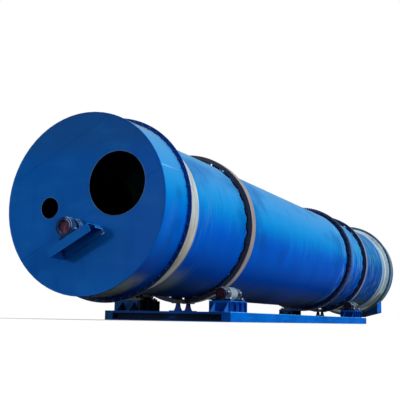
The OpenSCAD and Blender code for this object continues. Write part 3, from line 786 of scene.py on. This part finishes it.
# Painted shade: the drum's inner parts are near black, for the dark inside the drum.
INNER_SHADE_STEEL = Finish("inner_plate_painted_shade", "#0b1416", "#070e10", rough=0.85, spread=2).stained(
    stain("#121614", (8, 5), 0.5, 0.68, 0.6),
)
BOLT = Finish("bolt_zinc", "#a8b8cc", "#8292aa", rough=0.4, metal=0.4, gloss=0.5, spread=30).stained(
    stain(RUST, 60, 0.62, 0.72, 0.5, rough=0.8),
    # Painted shade on the left-hand bolts.
    tint("#0e1a2c", 0.9, above(Y, 0.6, 0.05), rough=0.8),
)
PAINTED_BOLT = Finish("bolt_painted", "#0e3e86", "#082e6c", gloss=0.25, spread=20).stained(
    stain("#6e8caa", 50, 0.62, 0.7, 0.6, rough=0.6),
)
# Painted highlight: the hood's weld is light blue where light catches it near the end plate, and blends
# into the hood further on.
WELD_HIGHLIGHT = Finish("weld_painted_highlight", "#60b0ec", "#3c92dc", rough=0.4, gloss=0.3, spread=(3, 9)).stained(
    stain("#145aaa", (7, 20), 0.56, 0.66, 0.5),
    tint("#288cdc", 0.9, above(X, -7.64, 0.06)),
)
SEAL = Finish(
    "seal_felt", "#362c28", "#463c36", rough=0.95, gloss=0.1, spread=10, grain=300, grain_depth=0.6
).stained(
    stain("#645c54", (40, 8), 0.5, 0.7, 0.5),
)
EDGE = Finish("cut_edge", "#4e7096", "#1a4a86", rough=0.6, metal=0.1, gloss=0.3, spread=3).stained(
    stain("#404854", 20, 0.5, 0.66, 0.5, rough=0.85),
)


# ---- sub-assemblies ----


def added(name: str, data: bpy.types.ID) -> bpy.types.Object:
    """Adds an object to the scene.

    Args:
        name: Its name.
        data: Its mesh, camera or light.

    Returns:
        The object.
    """
    made = bpy.data.objects.new(name, data)
    bpy.context.scene.collection.objects.link(made)
    return made


@dataclass
class Assembly:
    """What every sub-assembly shares: the body it rides on, and how it makes and dresses pieces."""

    body: str = "root"

    def piece(self, name: str, shape: Shape, finish: Finish, slot: str) -> None:
        """Makes an object of a shape: doubles merged, faces outwards, edges under 40 degrees smooth.

        Args:
            name: The piece's name.
            shape: Its surface.
            finish: Its finish.
            slot: The record's material slot that the finish belongs to; not used.
        """
        mesh = bpy.data.meshes.new(name)
        mesh.from_pydata(shape.points.tolist(), [], shape.faces.tolist())
        work = bmesh.new()
        work.from_mesh(mesh)
        bmesh.ops.remove_doubles(work, verts=work.verts, dist=MERGED)
        bmesh.ops.dissolve_degenerate(work, edges=work.edges, dist=MERGED)
        bmesh.ops.recalc_face_normals(work, faces=work.faces)
        work.to_mesh(mesh)
        work.free()
        mesh.polygons.foreach_set("use_smooth", np.ones(len(mesh.polygons), bool))
        mesh.set_sharp_from_angle(angle=CREASE)
        mesh.materials.append(finish.made())
        made = added(name, mesh)
        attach(made, self.body)
        LOG.info("%s: %d faces", name, len(mesh.polygons))

    def dress(self, **finishes: Finish) -> None:
        """Gives each CAD node that is named its finish."""
        for name, finish in finishes.items():
            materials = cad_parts[name].data.materials
            materials.clear()
            materials.append(finish.made())


def turned(left: float, up: float) -> Pair:
    """A place on the front hood, given along the hood's own turned directions, as (y, z)."""
    c, s = cos(HOOD_TURN), sin(HOOD_TURN)
    return left * c + up * s, AXIS_Z - left * s + up * c


def radius_of(node: str) -> float:
    """A round node's outer radius."""
    low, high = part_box(node)
    return (high.y - low.y) / 2


@dataclass
class Hood(Assembly):
    """What both still hoods share: their ports' edges, and their flange's bolts and seal."""

    end: End = End.FRONT
    edge_width: float = 0.009
    edge_height: float = 0.004
    bolt: Point = (0.024, 0.013, 0.003)  # width, height and washer, as for every bolt here
    bolts_out: float = 0.040
    bolt_count: int = 60
    seal: Outline = ()
    seal_ripples: tuple[int, float] = (90, 0.0015)

    def port_edge(self, y: float, z: float, radius: float) -> Shape:
        """The ground edge round a port in the end plate.

        Args:
            y: The port's middle along Y.
            z: Its middle along Z.
            radius: The radius of the edge's own middle line.

        Returns:
            A thin ring: a bead's outline carried along y + radius * sin(angle), z + radius * cos(angle).
        """
        angle = np.linspace(0, TURN, 96, endpoint=False)
        low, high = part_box(f"{self.end.word}_plate")
        x = np.full_like(angle, low.x if self.end is End.FRONT else high.x)
        path = np.stack([x, y + radius * np.sin(angle), z + radius * np.cos(angle)], -1)
        bead = bead_outline(self.edge_width, self.edge_height, 6)
        return carried(path, bead, self.end.outward, True)

    def flange_bolts(self) -> Shape:
        """Spaces bolts round the flange.

        Returns:
            The heads, on the flange's front face.
        """
        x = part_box(f"{self.end.word}_flange")[0].x
        radius = radius_of(f"{self.end.word}_hood_shell") + self.bolts_out
        return bolt(*self.bolt).placed(around(self.bolt_count, x, radius, End.FRONT))

    def seal_lip(self) -> Shape:
        """Closes the gap between the flange's inner face and the drum's band.

        Returns:
            The seal, slightly rippled.
        """
        low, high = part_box(f"{self.end.word}_flange")
        x = high.x if self.end is End.FRONT else low.x
        return ring(x, radius_of(f"band_{self.end.word}"), self.seal, *self.seal_ripples)


@dataclass
class FrontHood(Hood):
    """The still hood at the ported end, with its plate's seams and ports, its welds and its clips."""

    seal: Outline = ((0, 0.004), (0.006, 0.002), (0.014, 0.004), (0.016, 0.05), (0, 0.06))
    bead_ripples: tuple[int, float] = (300, 0.0008)
    foot_ripples: tuple[int, float] = (260, 0.0008)
    rim: Outline = ((0, -0.012), (-0.004, -0.006), (-0.002, 0), (0.012, 0.003), (0.02, -0.001))
    foot: Outline = ((-0.014, 0), (-0.001, 0.014), (0, 0.014), (0, 0))
    seam_size: Pair = (0.012, 0.003)
    seam_inset: float = 0.012
    seams_up: Pair = (-0.230, 1.012)
    gas_port: Point = (-0.653, -0.041, 0.500)
    feed_port: Point = (0.586, 0.252, 0.167)
    weld_angle: float = -1.20
    weld_size: Pair = (0.026, 0.005)
    weld_gap: float = 0.01
    clip: Point = (0.05, 0.03, 0.006)
    clip_bevel: float = 0.003
    clips: int = 30
    clips_start: float = 0.1
    clips_out: float = 0.04

    def seam(self, up: float) -> Shape:
        """One weld across the plate, broken where it meets the gas port.

        Args:
            up: Its height on the hood's own upward direction.

        Returns:
            The bead or beads.
        """
        reach = sqrt((radius_of("front_plate") - self.seam_inset) ** 2 - up ** 2)
        spans = [(-reach, reach)]
        left, port_up, radius = self.gas_port
        gap = (radius + self.edge_width) ** 2 - (up - port_up) ** 2
        if gap > 0:
            half = sqrt(gap)
            spans = [(-reach, left - half), (left + half, reach)]
        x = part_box("front_plate")[0].x
        return joined([weld((x, *turned(a, up)), (x, *turned(b, up)), *self.seam_size, self.end.outward)
                       for a, b in spans])

    def build(self) -> None:
        """Makes and dresses the hood's pieces."""
        plate, shell, flange = (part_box(n) for n in ("front_plate", "front_hood_shell", "front_flange"))
        r = radius_of("front_hood_shell")
        seams = joined([self.seam(up) for up in self.seams_up])
        self.piece("front_plate_seams", seams, PLATE, "plate_paint")
        edges = [self.port_edge(*turned(left, up), radius + self.edge_width / 2)
                 for left, up, radius in (self.gas_port, self.feed_port)]
        self.piece("port_edges", joined(edges), EDGE, "plate_paint")
        rim = ring(plate[0].x, r, self.rim, *self.bead_ripples)
        self.piece("front_plate_rim", rim, PLATE, "hood_paint")
        span = (plate[1].x + self.weld_gap, flange[0].x - self.weld_gap)
        ends = [on_drum(x, self.weld_angle, r) for x in span]
        line = weld(*ends, *self.weld_size, out_from_axis(self.weld_angle))
        self.piece("front_hood_weld", line, WELD_HIGHLIGHT, "hood_paint")
        foot = ring(shell[1].x, r, self.foot, *self.foot_ripples)
        self.piece("front_flange_weld", foot, HOOD, "hood_paint")
        self.piece("front_flange_bolts", self.flange_bolts(), PAINTED_BOLT, "dark_paint")
        self.piece("front_seal", self.seal_lip(), SEAL, "dark_paint")
        clips_at = flange[1].x + self.seal[3][0], radius_of("band_front") + self.clips_out
        spots = around(self.clips, *clips_at, End.REAR, self.clips_start)
        clips = block(self.clip, self.clip_bevel).placed(spots)
        self.piece("front_seal_clips", clips, PAINTED_BOLT, "dark_paint")
        self.dress(front_plate=PLATE, front_hood_shell=HOOD, front_flange=NAVY)


@dataclass
class RearHood(Hood):
    """The still hood at the discharge end, with its exhaust port and its hopper."""

    end: End = End.REAR
    edge_width: float = 0.014
    bolts_out: float = 0.045
    seal: Outline = ((0, 0.004), (-0.006, 0.002), (-0.014, 0.004), (-0.016, 0.085), (0, 0.095))
    port: Point = (0.0, 2.3, 0.508)

    def build(self) -> None:
        """Makes and dresses the hood's pieces."""
        self.piece("exhaust_port_edge", self.port_edge(*self.port), EDGE, "plate_paint")
        self.piece("rear_flange_bolts", self.flange_bolts(), REAR_GREEN, "rear_flange_paint")
        self.piece("rear_seal", self.seal_lip(), BAND_REAR, "rear_flange_paint")
        self.dress(rear_plate=PLATE, rear_hood_shell=REAR_HOOD, rear_flange=REAR_GREEN,
                   hopper_ends=NAVY, hopper_sides=FRAME_BLUE)


@dataclass(frozen=True)
class PillowBlock:
    """A split bearing housing's details about its own axis, which lies along X at the origin."""

    width: float
    radius: float
    height: float
    foot: float
    ears: bool = True
    ear: Point = (0.62, 0.034, 0.046)  # length as a part of the width, then depth and height
    ear_out: float = 0.013
    ear_bolt: Point = (0.024, 0.016, 0.003)
    ear_bolts: Pair = (-0.2, 0.2)  # along X as a part of the width, like the ribs
    foot_bolt: Point = (0.036, 0.022, 0.005)
    foot_height: float = 0.036
    foot_margin: float = 0.030
    rim: float = 0.012
    rim_height: float = 0.003
    rib: Pair = (0.014, 0.006)
    rib_reach: float = 1.1
    ribs: Pair = (-0.36, 0.36)
    nipple: Outline = ((0, 0), (0.008, 0), (0.006, 0.012), (0.009, 0.018), (0, 0.024))

    def details(self) -> dict[str, Shape]:
        """The housing's trim and bolts.

        Returns:
            "trim": ears at the split, if it has them.
            "bolts": cap bolts on the ears, foot bolts and a grease nipple.
            "rims": a hoop round both faces and two ribs over the top.
        """
        w, r = self.width, self.radius
        inside, outside = r - PROUD, r + PROUD
        length, depth, height = self.ear
        trim, bolts = [], []
        for side in (-1, 1):
            if self.ears:
                ear = block((w * length, depth, height), 0.004)
                trim.append(ear.at((0, side * (r + self.ear_out), -height / 2)))
                head, out = bolt(*self.ear_bolt), side * (outside + self.ear_out)
                bolts += [head.at((x * w, out, height / 2)) for x in self.ear_bolts]
            foot_at = (0, side * (self.foot / 2 - self.foot_margin), self.foot_height - self.height)
            bolts.append(bolt(*self.foot_bolt).at(foot_at))
        bolts.append(lathe(self.nipple, 12).at((0, 0, inside)))
        rim = hoop(r - self.rim, inside, self.rim_height)
        rims = [rim.at((end.value * w / 2, 0, 0), end.outward) for end in End]
        angle = np.linspace(-self.rib_reach, self.rib_reach, 25)
        for x in self.ribs:
            path = (np.full_like(angle, x * w), outside * np.sin(angle), outside * np.cos(angle))
            rims.append(arched(np.stack(path, -1), *self.rib))
        parts = {"trim": trim, "bolts": bolts, "rims": rims}
        return {key: joined(shapes) for key, shapes in parts.items() if shapes}


@dataclass
class Shelf(Assembly):
    """The bracket on the front plate, with its two bearings, its stub shaft and its fixings."""

    bearing_left: float = 0.264
    top_up: float = -0.492
    housing: PillowBlock = PillowBlock(0.110, 0.150, 0.159, 0.320, ears=False)
    mouth: Point = (0.107, 0.119, 0.006)
    boss: Outline = ((0, 0), (0.046, 0), (0.044, 0.006), (0, 0.006))

    def build(self) -> None:
        """Makes the details of both bearings and of the cap, and dresses the shelf."""
        low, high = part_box("shelf_bearings")
        y, z = turned(self.bearing_left, self.top_up + self.housing.height)
        tilt = Matrix.Rotation(-HOOD_TURN, 4, "X")
        middles = (low.x + self.housing.width / 2, high.x - self.housing.width / 2)
        places = np.array([Matrix.Translation((x, y, z)) @ tilt for x in middles])
        found = self.housing.details()
        self.piece("shelf_bearing_bolts", found["bolts"].placed(places), BOLT, "bearing_paint")
        mouth = hoop(*self.mouth).at((low.x + SUNK, y, z), End.FRONT.outward)
        self.piece("shelf_bearing_rims", found["rims"].placed(places) + mouth, SHELF_RIM, "bearing_paint")
        boss = lathe(self.boss, 32).at((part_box("shelf_cap")[0].x + SUNK, y, z), End.FRONT.outward)
        self.piece("shelf_cap_boss", boss, CAP_RED, "cap_paint")
        self.dress(shelf=SHELF_BLUE, shelf_bearings=SHELF_CAST, shelf_cap=CAP_RED, shelf_shaft=MACHINED)


@dataclass
class Station(Assembly):
    """A pair of carrier rollers on their stands, with the thrust rollers between them."""

    end: End = End.FRONT
    plate: float = 0.016
    gusset: float = 0.200
    housing: float = 0.140
    cap: float = 0.020
    collars: tuple[Point, Point] = ((0.084, 0.094, 0.004), (0.070, 0.0815, 0.004))
    boss: Outline = ((0, 0), (0.030, 0), (0.028, 0.003), (0, 0.003))
    screw: Pair = (0.014, 0.006)
    screws: int = 6
    screw_circle: float = 0.050
    bead: Pair = (0.018, 0.009)
    lean: float = 0.7

    def build(self) -> None:
        """Makes the bearings' details, the caps' screws, the welds and wings, and dresses the station."""
        end = self.end.word
        found: dict[str, list[Shape]] = {k: [] for k in ("trim", "bolts", "rims", "collars", "screws")}
        for side in ("left", "right"):
            low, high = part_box(f"bearings_{end}_{side}")
            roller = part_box(f"roller_{end}_{side}")
            y, z = (low.y + high.y) / 2, (roller[0].z + roller[1].z) / 2
            details = PillowBlock(self.housing, high.z - z, z - low.z, high.y - low.y).details()
            for x in (low.x + self.housing / 2, high.x - self.housing / 2):
                for key, shape in details.items():
                    found[key].append(shape.placed(np.array(Matrix.Translation((x, y, z)))))
            for facing, x in zip(End, (low.x, high.x)):
                face = x - facing.value * SUNK
                cap = face + facing.value * self.cap
                for spot, collar in zip((face, cap), self.collars):
                    found["collars"].append(hoop(*collar).at((spot, y, z), facing.outward))
                found["screws"].append(lathe(self.boss).at((cap, y, z), facing.outward))
                for i in range(self.screws):
                    a = (i + 0.5) / self.screws * TURN
                    spot = (cap, y + self.screw_circle * sin(a), z + self.screw_circle * cos(a))
                    found["screws"].append(bolt(*self.screw).at(spot, facing.outward))
        for key, finish in (("trim", CAST), ("bolts", BOLT), ("rims", RIM_WEAR_AND_HIGHLIGHT), ("collars", SHOE)):
            self.piece(f"bearing_{key}_{end}", joined(found[key]), finish, "bearing_paint")
        self.piece(f"cap_screws_{end}", joined(found["screws"]), CAP_DARK, "cap_paint")
        welds = self.stand_welds("left") + self.stand_welds("right")
        self.piece(f"stand_welds_{end}", welds, FRAME_BLUE, "frame_paint")
        if self.end is End.FRONT:
            self.piece("stand_wings", self.wings(), STAND_PAINTED_SHADE, "frame_paint")
        numbers, thrust = ((1, 2), STAND_LIGHT_AND_SHADE) if self.end is End.FRONT else ((3, 4), STAND_PAINTED_SHADE)
        # The left-hand stand, bearings and roller take painted shade, as do the rear thrust stands.
        self.dress(bearing_caps=CAP_DARK, **{
            f"stand_{end}_left": STAND_PAINTED_SHADE, f"bearings_{end}_left": OIL_AND_SHADE, f"roller_{end}_left": OIL_AND_SHADE,
            f"stand_{end}_right": STAND_LIGHT_AND_SHADE, f"bearings_{end}_right": CAST, f"roller_{end}_right": MACHINED,
            f"cross_station_{end}": FRAME_BLUE, f"thrust_stands_{end}": thrust,
        }, **{f"thrust_roller_{n}": OIL_AND_SHADE for n in numbers})

    def wings(self) -> Shape:
        """Carries the left stand's end plates out to the side beam's outer face.

        Returns:
            The two wings.
        """
        low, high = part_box(f"stand_{self.end.word}_left")
        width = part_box("side_beam_left")[1].y - 0.002 - high.y
        wing = block((self.plate, width, high.z - low.z), 0.002)
        spots = (low.x + self.gusset + self.plate / 2, high.x - self.plate / 2)
        return joined([wing.at((x, high.y + width / 2, low.z)) for x in spots])

    def stand_welds(self, side: str) -> Shape:
        """Weld beads round a stand's foot.

        Args:
            side: "left" or "right".

        Returns:
            The beads as one surface.
        """
        low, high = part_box(f"stand_{self.end.word}_{side}")
        start, end, z, lean = low.x + self.gusset, high.x, low.z + PROUD, self.lean
        return joined([
            *(weld((start, y, z), (end, y, z), *self.bead, (0, out * lean, lean))
              for y, out in ((low.y, -1), (high.y, 1))),
            *(weld((x, low.y, z), (x, high.y, z), *self.bead, (out * lean, 0, lean))
              for x, out in ((start, -1), (end, 1))),
        ])


@dataclass
class Drum(Assembly):
    """The turning drum: its course welds, its bands, its tyres with their pads, and its gear."""

    body: str = "drum"
    courses: tuple[float, ...] = (-5.69, -3.49, -1.69, 0.21, 2.01, 3.91, 6.01)
    bead: Outline = ((-0.015, -0.002), (-0.0075, 0.00144), (0, 0.0018), (0.0075, 0.00144),
                     (0.015, -0.002))
    bead_ripples: tuple[int, float] = (320, 0.0006)
    seam: Pair = (0.014, 0.0018)
    first_seam: float = 0.9
    seam_stagger: float = 2.1
    keeper: Point = (0.050, 0.016, 0.006)
    keeper_bevel: float = 0.002
    keepers: int = 30
    gear_bolt: Point = (0.026, 0.016, 0.004)
    gear_bolts: int = 60
    gear_start: float = 0.05
    gear_root: float = 0.059
    web_inset: float = 0.04
    web_height: float = 0.041

    def course_welds(self) -> Shape:
        """Welds the shell's courses to each other, and each course along its own seam.

        Returns:
            The rings and the staggered seams.
        """
        r = radius_of("drum_shell")
        parts = [ring(x, r, self.bead, *self.bead_ripples) for x in self.courses]
        ends = (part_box("band_front")[1].x, *self.courses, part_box("band_rear")[0].x)
        for i, (a, b) in enumerate(zip(ends[:-1], ends[1:])):
            angle = self.first_seam + i * self.seam_stagger
            line = on_drum(a, angle, r), on_drum(b, angle, r)
            parts.append(weld(*line, *self.seam, out_from_axis(angle)))
        return joined(parts)

    def both_faces(self, shape: Shape, node: str, count: int, radius: float, start: float = 0.0) -> Shape:
        """Repeats a shape round the front and the rear face of a node."""
        faces = zip(End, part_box(node))
        return joined([shape.placed(around(count, at.x, radius, end, start)) for end, at in faces])

    def build(self) -> None:
        """Makes and dresses the drum's pieces."""
        self.piece("drum_welds", self.course_welds(), DRUM, "drum_paint")
        r = radius_of("drum_shell")
        for end in ("front", "rear"):
            middle = (r + radius_of(f"pads_{end}")) / 2
            keeper = block(self.keeper, self.keeper_bevel)
            plates = self.both_faces(keeper, f"pads_{end}", self.keepers, middle)
            self.piece(f"shoe_plates_{end}", plates, KEEPER, "dark_paint")
        root = radius_of("girth_gear") - self.gear_root
        head = bolt(*self.gear_bolt)
        heads = self.both_faces(head, "girth_gear", self.gear_bolts, root, self.gear_start)
        self.piece("gear_bolts", heads, SHOE, "dark_paint")
        low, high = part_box("girth_gear")
        start, stop = self.web_inset, high.x - low.x - self.web_inset
        web = ((start, SUNK), (start, self.web_height), (stop, self.web_height), (stop, SUNK))
        self.piece("gear_web", ring(low.x, r, web), GEAR, "dark_paint")
        self.dress(
            drum_shell=DRUM, band_front=BAND, band_rear=BAND_REAR, tyre_front=TYRE, tyre_rear=TYRE_REAR,
            pads_front=SHOE, pads_rear=SHOE, gear_brackets=SHOE, girth_gear=GEAR, drum_head=INNER_SHADE_STEEL,
            middle_cylinder=INNER_SHADE_STEEL, middle_end=INNER_SHADE_STEEL, inner_cylinder=INNER_SHADE_STEEL,
            spiders=INNER_SHADE_STEEL,
        )


@dataclass
class BaseFrame(Assembly):
    """The welded frame under the stations."""

    bead: Pair = (0.014, 0.006)
    inset: float = 0.01
    lean: float = 0.7

    def build(self) -> None:
        """Makes the upright welds at the cross beams' ends, and dresses the frame."""
        parts = []
        for node in ("cross_front", "cross_middle", "cross_rear"):
            low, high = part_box(node)
            for x in (low.x, high.x):
                for y in (low.y, high.y):
                    up = (copysign(self.lean, x), -copysign(self.lean, y), 0)
                    parts.append(weld((x, y, self.inset), (x, y, high.z - self.inset), *self.bead, up))
        self.piece("frame_welds", joined(parts), FRAME_BLUE, "frame_paint")
        # The left side beam takes painted shade.
        self.dress(side_beam_right=FRAME_BLUE, cross_middle=FRAME_BLUE, side_beam_left=STAND_PAINTED_SHADE,
                   cross_front=CHANNEL, cross_rear=CHANNEL)


# ---- studio ----


@dataclass(frozen=True)
class Viewpoint:
    """The camera's place in metres and its turn in degrees."""

    place: Point = (-17.6951, -6.6275, 0.0304)
    yaw: float = 25.5236
    pitch: float = 9.0473
    roll: float = 1.0483
    lens: float = 67.761
    sensor: float = 36.0
    reach: float = 500.0

    def add(self) -> None:
        """Adds the camera, which looks along (cos pitch cos yaw, cos pitch sin yaw, sin pitch)."""
        data = bpy.data.cameras.new("camera")
        data.lens, data.sensor_width, data.clip_end = self.lens, self.sensor, self.reach
        camera = added("camera", data)
        camera.matrix_world = Matrix.Translation(self.place)
        for angle, axis in ((self.yaw - 90, "Z"), (self.pitch + 90, "X"), (self.roll, "Z")):
            camera.matrix_world @= Matrix.Rotation(radians(angle), 4, axis)
        bpy.context.scene.camera = camera


@dataclass(frozen=True)
class Lamp:
    """A sun: its strength, the direction it shines from, its spread in degrees and its colour."""

    name: str
    strength: float
    source: Point
    spread: float
    colour: Colour

    def add(self) -> None:
        """Adds the sun."""
        data = bpy.data.lights.new(self.name, "SUN")
        data.energy, data.color, data.angle = self.strength, self.colour, radians(self.spread)
        sun = added(self.name, data)
        sun.rotation_mode = "QUATERNION"
        sun.rotation_quaternion = Vector(self.source).to_track_quat("Z", "Y")


@dataclass(frozen=True)
class Studio:
    """A white background, a pale floor that keeps the shadow, a soft key from above and a fill."""

    sky: float = 0.42
    sky_colour: Colour = (0.86, 0.93, 1.0)
    key: Lamp = Lamp("key", 2.9, (-0.04, -0.85, 0.50), 36.0, (1.0, 1.0, 0.85))
    fill: Lamp = Lamp("fill", 0.62, (-0.85, 0.42, 0.12), 9.0, (0.86, 0.93, 1.0))
    floor_half: float = 200.0
    floor_height: float = -0.004
    floor_shown: Colour = (0.86, 0.86, 0.86)
    floor_thrown: Colour = (0.03, 0.03, 0.03)
    floor_glow: float = 0.30

    def world(self) -> None:
        """A world that is white behind the object and lights it more softly."""
        world = bpy.data.worlds.new("studio")
        world.use_nodes = True
        bpy.context.scene.world = world
        graph = Graph(world.node_tree)
        light = graph.node("Background", {"Strength": self.sky, "Color": (*self.sky_colour, 1)})[0]
        white = graph.node("Background", {"Strength": 1.0, "Color": (1, 1, 1, 1)})[0]
        both = graph.node("MixShader", {0: graph.background_ray(), 1: light, 2: white})
        graph.node("OutputWorld", {"Surface": both[0]})

    def floor(self) -> None:
        """Adds the floor: pale to the camera, and darker for the light that it throws back."""
        h, z = self.floor_half, self.floor_height
        mesh = bpy.data.meshes.new("floor")
        mesh.from_pydata([(-h, -h, z), (h, -h, z), (h, h, z), (-h, h, z)], [], [(0, 1, 2, 3)])
        material = bpy.data.materials.new("floor_pale")
        material.use_nodes = True
        graph = Graph(material.node_tree)
        seen = graph.background_ray()
        shader = graph.node("BsdfPrincipled", {
            "Base Color": graph.mixed(seen, self.floor_thrown, self.floor_shown), "Roughness": 0.9,
            "Specular IOR Level": 0.0, "Emission Color": (1, 1, 1, 1),
            "Emission Strength": graph.sum("MULTIPLY", seen, self.floor_glow),
        })
        graph.node("OutputMaterial", {"Surface": shader[0]})
        mesh.materials.append(material)
        added("floor", mesh)

    def build(self) -> None:
        """Sets the view transform, the world, the floor and the lamps."""
        bpy.context.scene.view_settings.view_transform = "Standard"
        self.world()
        self.floor()
        self.key.add()
        self.fill.add()


def main() -> None:
    """Builds the camera, the studio and every sub-assembly."""
    logging.basicConfig(level=logging.INFO, format="%(message)s")
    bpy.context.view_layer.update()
    Viewpoint().add()
    Studio().build()
    stations = (Station(end=end) for end in End)
    for part in (BaseFrame(), *stations, Drum(), FrontHood(), Shelf(), RearHood()):
        LOG.info("building %s", type(part).__name__)
        part.build()


if __name__ == "__main__":
    main()
